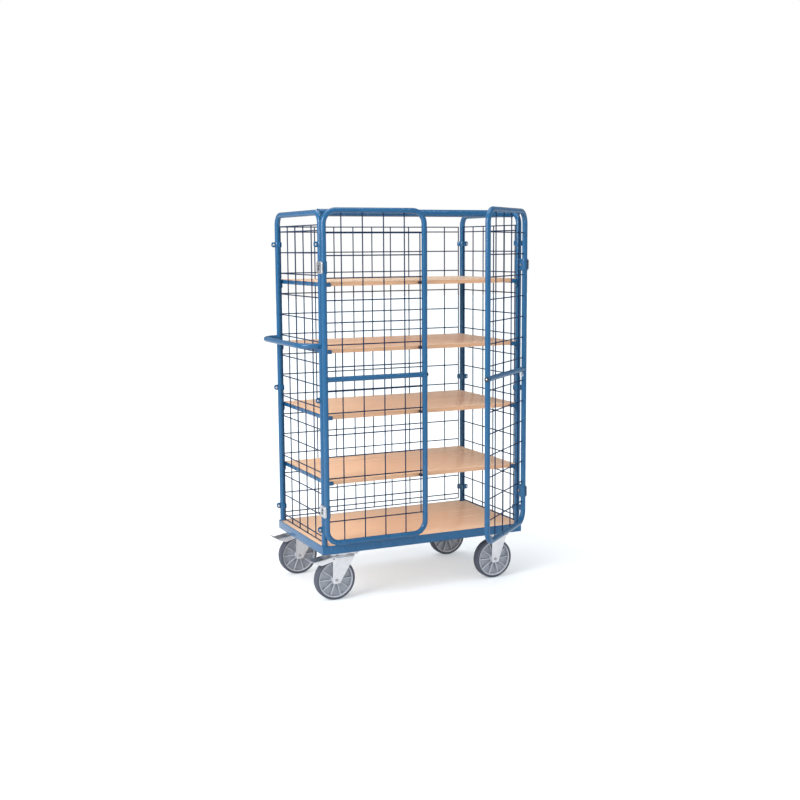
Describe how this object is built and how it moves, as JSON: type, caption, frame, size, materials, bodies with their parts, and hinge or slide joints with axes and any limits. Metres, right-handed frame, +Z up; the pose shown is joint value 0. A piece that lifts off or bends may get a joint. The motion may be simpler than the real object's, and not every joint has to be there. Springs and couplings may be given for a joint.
{
  "type": "shelf trolley",
  "caption": "Tall caged shelf trolley with mesh ends and rear, wing doors, wooden shelves, push handle, braked swivel castors and fixed castors.",
  "frame": {"origin": "on the floor, under the centre of the base frame", "axes": "+X along the base to the right seen from the doors, -Y out of the doors, +Z up"},
  "size_m": [1.1625, 0.9891, 1.8145],
  "materials": {
    "frame_paint": "satin blue powder coat",
    "mesh_paint": "satin blue powder coat on wire",
    "beech_board": "beech decor, slightly glossy coating",
    "zinc_steel": "bright zinc plating",
    "black_plastic": "matt black",
    "rim_plastic": "light grey, satin",
    "grey_tyre": "grey elastic rubber"
  },
  "bodies": {
    "chassis": {"base_frame": "frame_paint", "base_bearers": "frame_paint", "deck_board": "beech_board", "shelf_board_1": "beech_board", "shelf_board_2": "beech_board", "shelf_board_3": "beech_board", "shelf_board_4": "beech_board", "door_buffers": "black_plastic", "left_shelf_supports": "frame_paint", "right_shelf_supports": "frame_paint", "support_screws": "zinc_steel", "left_end_frame": "frame_paint", "right_end_frame": "frame_paint", "top_rail": "frame_paint", "left_mesh": "mesh_paint", "right_mesh": "mesh_paint", "rear_mesh": "mesh_paint", "mesh_clips": "frame_paint", "clip_bolts": "zinc_steel", "push_handle": "frame_paint", "hinge_inner_shells": "frame_paint", "hinge_outer_caps": "zinc_steel", "hinge_bolts": "zinc_steel", "castor_bolts": "zinc_steel", "front_swivel_plate": "zinc_steel", "rear_swivel_plate": "zinc_steel", "front_fixed_bracket": "zinc_steel", "rear_fixed_bracket": "zinc_steel", "front_fixed_axle": "zinc_steel", "rear_fixed_axle": "zinc_steel"},
    "left_door": {"left_door_frame": "frame_paint", "left_door_bar": "frame_paint", "left_door_mesh": "mesh_paint", "left_bolt_keeper": "black_plastic"},
    "right_door": {"right_door_frame": "frame_paint", "right_door_bar": "frame_paint", "right_door_mesh": "mesh_paint", "bolt_guide": "black_plastic"},
    "door_bolt": {"door_bolt": "zinc_steel"},
    "pull_ring": {"pull_ring": "zinc_steel"},
    "front_swivel": {"front_swivel_fork": "zinc_steel", "front_swivel_axle": "zinc_steel"},
    "front_swivel_wheel": {"front_swivel_rim": "rim_plastic", "front_swivel_tyre": "grey_tyre", "front_swivel_hub_bush": "zinc_steel"},
    "front_fixed_wheel": {"front_fixed_rim": "rim_plastic", "front_fixed_tyre": "grey_tyre", "front_fixed_hub_bush": "zinc_steel"},
    "front_pedal": {"front_brake_pedal": "zinc_steel"},
    "rear_swivel": {"rear_swivel_fork": "zinc_steel", "rear_swivel_axle": "zinc_steel"},
    "rear_swivel_wheel": {"rear_swivel_rim": "rim_plastic", "rear_swivel_tyre": "grey_tyre", "rear_swivel_hub_bush": "zinc_steel"},
    "rear_fixed_wheel": {"rear_fixed_rim": "rim_plastic", "rear_fixed_tyre": "grey_tyre", "rear_fixed_hub_bush": "zinc_steel"},
    "rear_pedal": {"rear_brake_pedal": "zinc_steel"}
  },
  "joints": [
    {"name": "left_door_hinge", "type": "hinge", "parent": "chassis", "child": "left_door", "pos_m": [-0.518, -0.338, 0.9945], "axis": [0, 0, -1], "range_deg": [0, 190]},
    {"name": "right_door_hinge", "type": "hinge", "parent": "chassis", "child": "right_door", "pos_m": [0.518, -0.338, 0.9945], "axis": [0, 0, 1], "range_deg": [-40, 200]},
    {"name": "door_bolt_slide", "type": "slide", "parent": "right_door", "child": "door_bolt", "axis": [-0.766, -0.6428, 0], "range_m": [0, 0.03]},
    {"name": "pull_ring_swing", "type": "hinge", "parent": "door_bolt", "child": "pull_ring", "pos_m": [0.49042, -0.36114, 1.031], "axis": [0.6428, -0.766, 0], "range_deg": [-60, 60]},
    {"name": "front_castor_swivel", "type": "hinge", "parent": "chassis", "child": "front_swivel", "pos_m": [-0.414, -0.249, 0.2], "axis": [0, 0, 1], "continuous": true},
    {"name": "front_swivel_wheel_spin", "type": "hinge", "parent": "front_swivel", "child": "front_swivel_wheel", "pos_m": [-0.452, -0.249, 0.098], "axis": [0, 1, 0], "continuous": true},
    {"name": "front_pedal_pivot", "type": "hinge", "parent": "front_swivel", "child": "front_pedal", "pos_m": [-0.468, -0.249, 0.2016], "axis": [0, 1, 0], "range_deg": [0, 12]},
    {"name": "front_fixed_wheel_spin", "type": "hinge", "parent": "chassis", "child": "front_fixed_wheel", "pos_m": [0.396, -0.249, 0.098], "axis": [0, 1, 0], "continuous": true},
    {"name": "rear_castor_swivel", "type": "hinge", "parent": "chassis", "child": "rear_swivel", "pos_m": [-0.414, 0.249, 0.2], "axis": [0, 0, 1], "continuous": true},
    {"name": "rear_swivel_wheel_spin", "type": "hinge", "parent": "rear_swivel", "child": "rear_swivel_wheel", "pos_m": [-0.452, 0.249, 0.098], "axis": [0, 1, 0], "continuous": true},
    {"name": "rear_pedal_pivot", "type": "hinge", "parent": "rear_swivel", "child": "rear_pedal", "pos_m": [-0.468, 0.249, 0.2016], "axis": [0, 1, 0], "range_deg": [0, 12]},
    {"name": "rear_fixed_wheel_spin", "type": "hinge", "parent": "chassis", "child": "rear_fixed_wheel", "pos_m": [0.396, 0.249, 0.098], "axis": [0, 1, 0], "continuous": true}
  ]
}
